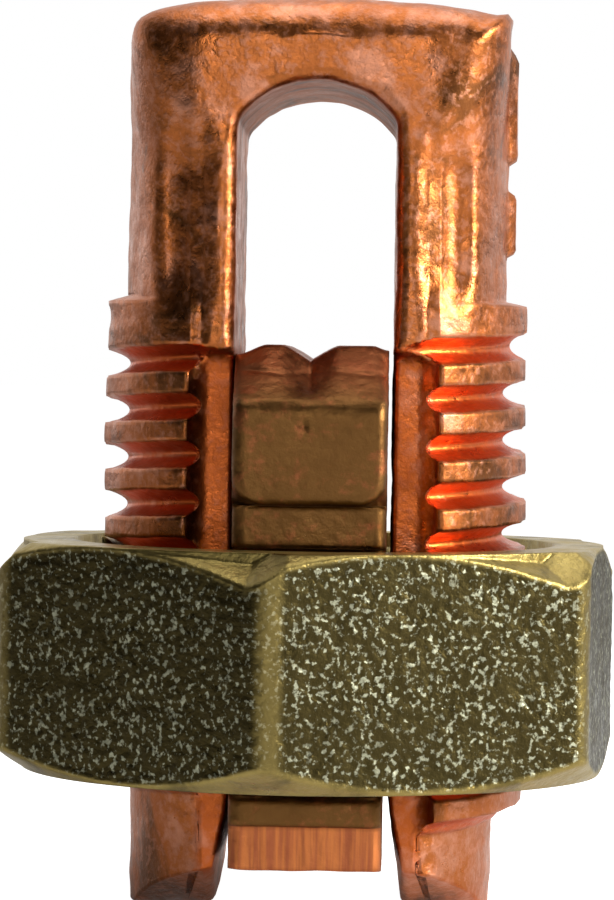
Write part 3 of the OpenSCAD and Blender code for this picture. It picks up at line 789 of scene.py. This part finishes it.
def tarnished_copper(r, grain, tarnish):
    """Dark skin, redder on the saddle and the noses, and bright where the foot was sheared."""
    material, tree, vector, shader = new_metal("tarnished_copper")
    skin = tree.nodes.new("ShaderNodeGroup")
    skin.node_tree = grain
    patch = tree.nodes.new("ShaderNodeGroup")
    patch.node_tree = tarnish
    tree.links.new(vector, skin.inputs["Vector"])
    tree.links.new(vector, patch.inputs["Vector"])
    skin.inputs["Size"].default_value = 3200.0
    skin.inputs["Roughness"].default_value = 0.42
    skin.inputs["Spread"].default_value = 0.4
    patch.inputs["Size"].default_value = 380.0
    base = blend_colour(tree, maths(tree, "MULTIPLY", patch.outputs["Blush"], 0.5), r.skin[:], r.redder_copper[:])
    # The saddle and the noses above the upright faces are made redder.
    saddle_redder = maths(tree, "MULTIPLY", attribute(tree, "saddle"), 0.6)
    base = blend_colour(tree, saddle_redder, base, r.redder_copper[:])
    lines = node(tree, "ShaderNodeTexNoise", {
        "Vector": node(tree, "ShaderNodeMapping", {"Vector": vector, "Scale": (7.0, 1.0, 0.35)}).outputs["Vector"],
        "Scale": 900.0, "Detail": 4.0})
    bright = blend_colour(tree, ramp(tree, lines.outputs["Fac"], 0.35, 0.65), r.redder_copper[:], r.shear[:])
    base = blend_colour(tree, attribute(tree, "shear"), base, bright)
    finish_metal(tree, shader, base, skin.outputs["Roughness"], skin.outputs["Height"], 0.00005, 0.5)
    return material


def metal(name):
    """The named metal, made the first time that it is asked for."""
    if name in bpy.data.materials:
        found = bpy.data.materials[name]
        if "made_here" in found:
            return found
    grain = bpy.data.node_groups.get("metal_grain") or grain_group()
    tarnish = bpy.data.node_groups.get("metal_tarnish") or tarnish_group()
    scene = bpy.context.scene
    makers = {"forged_copper": (forged_copper, scene.bolt_settings), "bronze": (bronze, scene.nut_settings),
              "tarnished_copper": (tarnished_copper, scene.bar_settings)}
    maker, settings = makers[name]
    made = maker(settings, grain, tarnish)
    made["made_here"] = True
    return made


# ---- Stage ----


def white_sky(sky):
    """A world that the camera sees as white. Glossy and clear rays see white behind and a dark room in front."""
    world = bpy.data.worlds.new("studio")
    bpy.context.scene.world = world
    world.use_nodes = True
    tree = world.node_tree
    tree.nodes.clear()
    path = tree.nodes.new("ShaderNodeLightPath")
    direction = node(tree, "ShaderNodeSeparateXYZ", {0: tree.nodes.new("ShaderNodeTexCoord").outputs["Generated"]})
    behind = ramp(tree, direction.outputs["Y"], 0.05, 0.6)
    clear = maths(tree, "MAXIMUM", path.outputs["Is Glossy Ray"], path.outputs["Is Transmission Ray"])
    seen = maths(tree, "MAXIMUM", path.outputs["Is Camera Ray"], maths(tree, "MULTIPLY", clear, behind))
    strength = node(tree, "ShaderNodeMapRange", {"Value": seen, "To Min": sky, "To Max": 1.0})
    glow = node(tree, "ShaderNodeBackground", {"Color": (1.0, 1.0, 1.0, 1.0), "Strength": strength.outputs["Result"]})
    out = tree.nodes.new("ShaderNodeOutputWorld")
    tree.links.new(glow.outputs["Background"], out.inputs["Surface"])


def add_lamp(name, place, target, size, power):
    """A square area lamp at a place in millimetres, turned to a target."""
    lamp = bpy.data.lights.new(name, "AREA")
    lamp.energy, lamp.size = power, size * MM
    made = bpy.data.objects.new(name, lamp)
    made.location = Vector(place) * MM
    made.rotation_euler = (Vector(target) - Vector(place)).to_track_quat("-Z", "Y").to_euler()
    bpy.context.scene.collection.objects.link(made)
    return made


def add_floor():
    """A pale floor under the leg ends."""
    mesh = bpy.data.meshes.new("floor")
    reach, level = 3.0, -0.00001
    mesh.from_pydata([(-reach, -reach, level), (reach, -reach, level), (reach, reach, level), (-reach, reach, level)],
                     [], [(0, 1, 2, 3)])
    material = bpy.data.materials.new("floor_paint")
    material.use_nodes = True
    tree = material.node_tree
    tree.nodes.clear()
    path = tree.nodes.new("ShaderNodeLightPath")
    glossy = maths(tree, "MULTIPLY", path.outputs["Is Glossy Ray"], 0.15)
    seen = maths(tree, "MAXIMUM", path.outputs["Is Camera Ray"], glossy)
    paint = node(tree, "ShaderNodeBsdfDiffuse", {"Color": (0.85, 0.85, 0.85, 1.0)})
    glow = node(tree, "ShaderNodeEmission", {"Color": (1.0, 1.0, 1.0, 1.0),
                                             "Strength": maths(tree, "MULTIPLY", seen, 1.0)})
    both = node(tree, "ShaderNodeAddShader", {0: paint.outputs[0], 1: glow.outputs[0]})
    out = tree.nodes.new("ShaderNodeOutputMaterial")
    tree.links.new(both.outputs[0], out.inputs["Surface"])
    mesh.materials.append(material)
    floor = bpy.data.objects.new("floor", mesh)
    bpy.context.scene.collection.objects.link(floor)


def add_camera(s):
    """A long-lens camera that looks at the axis from the front, turned slightly about its view."""
    camera = bpy.data.cameras.new("camera")
    camera.lens, camera.sensor_width = s.lens, 36.0
    camera.clip_start, camera.clip_end = 0.01, 10.0
    made = bpy.data.objects.new("camera", camera)
    swing = Matrix.Rotation(s.yaw, 4, "Z")
    eye = swing @ Vector((s.aside, -s.distance, s.eye))
    aim = swing @ Vector((s.aside, 0.0, s.aim))
    look = (aim - eye).to_track_quat("-Z", "Y").to_matrix().to_4x4()
    made.matrix_world = Matrix.Translation(eye) @ look @ Matrix.Rotation(s.roll, 4, "Z")
    bpy.context.scene.collection.objects.link(made)
    bpy.context.scene.camera = made


# ---- Operators ----


class SPLITBOLT_OT_bolt(bpy.types.Operator):
    """Builds the forged bolt with its thread"""
    bl_idname = "splitbolt.bolt"
    bl_label = "Bolt"

    def execute(self, context):
        build_bolt(context.scene.bolt_settings, metal("forged_copper"))
        return {"FINISHED"}


class SPLITBOLT_OT_nut(bpy.types.Operator):
    """Builds the nut and its thread ridge"""
    bl_idname = "splitbolt.nut"
    bl_label = "Nut"

    def execute(self, context):
        build_nut(context.scene.nut_settings, metal("bronze"))
        return {"FINISHED"}


class SPLITBOLT_OT_bar(bpy.types.Operator):
    """Builds the pressure bar"""
    bl_idname = "splitbolt.bar"
    bl_label = "Pressure bar"

    def execute(self, context):
        build_bar(context.scene.bar_settings, metal("tarnished_copper"))
        return {"FINISHED"}


class SPLITBOLT_OT_stage(bpy.types.Operator):
    """Sets the camera, the lamps, the sky and the floor"""
    bl_idname = "splitbolt.stage"
    bl_label = "Stage"

    def execute(self, context):
        s = context.scene.stage_settings
        context.scene.view_settings.view_transform = "Standard"
        white_sky(s.sky)
        add_floor()
        middle = (0, 0, 15)
        add_lamp("key", (150, -55, 75), middle, 60, s.key)
        add_lamp("fill", (10, -230, 70), middle, 90, s.fill)
        add_lamp("top", (10, 10, 170), middle, 120, s.top)
        add_camera(s)
        return {"FINISHED"}


class SPLITBOLT_PT_panel(bpy.types.Panel):
    """Lists the steps that build the connector"""
    bl_idname = "SPLITBOLT_PT_panel"
    bl_label = "Split bolt connector"
    bl_space_type = "VIEW_3D"
    bl_region_type = "UI"
    bl_category = "Split Bolt"

    def draw(self, context):
        for step in STEPS:
            self.layout.operator(step)


STEPS = ("splitbolt.bolt", "splitbolt.nut", "splitbolt.bar", "splitbolt.stage")
CLASSES = (BoltSettings, NutSettings, BarSettings, StageSettings, SPLITBOLT_OT_bolt,
           SPLITBOLT_OT_nut, SPLITBOLT_OT_bar, SPLITBOLT_OT_stage, SPLITBOLT_PT_panel)


def register():
    """Registers the classes and gives the scene its settings."""
    for item in CLASSES:
        bpy.utils.register_class(item)
    bpy.types.Scene.bolt_settings = PointerProperty(type=BoltSettings)
    bpy.types.Scene.nut_settings = PointerProperty(type=NutSettings)
    bpy.types.Scene.bar_settings = PointerProperty(type=BarSettings)
    bpy.types.Scene.stage_settings = PointerProperty(type=StageSettings)


def unregister():
    """Takes the settings and the classes away again."""
    for name in ("bolt_settings", "nut_settings", "bar_settings", "stage_settings"):
        delattr(bpy.types.Scene, name)
    for item in reversed(CLASSES):
        bpy.utils.unregister_class(item)


def main():
    """Builds every piece and the stage."""
    register()
    for step in STEPS:
        group, name = step.split(".")
        getattr(getattr(bpy.ops, group), name)()


if __name__ == "__main__":
    main()
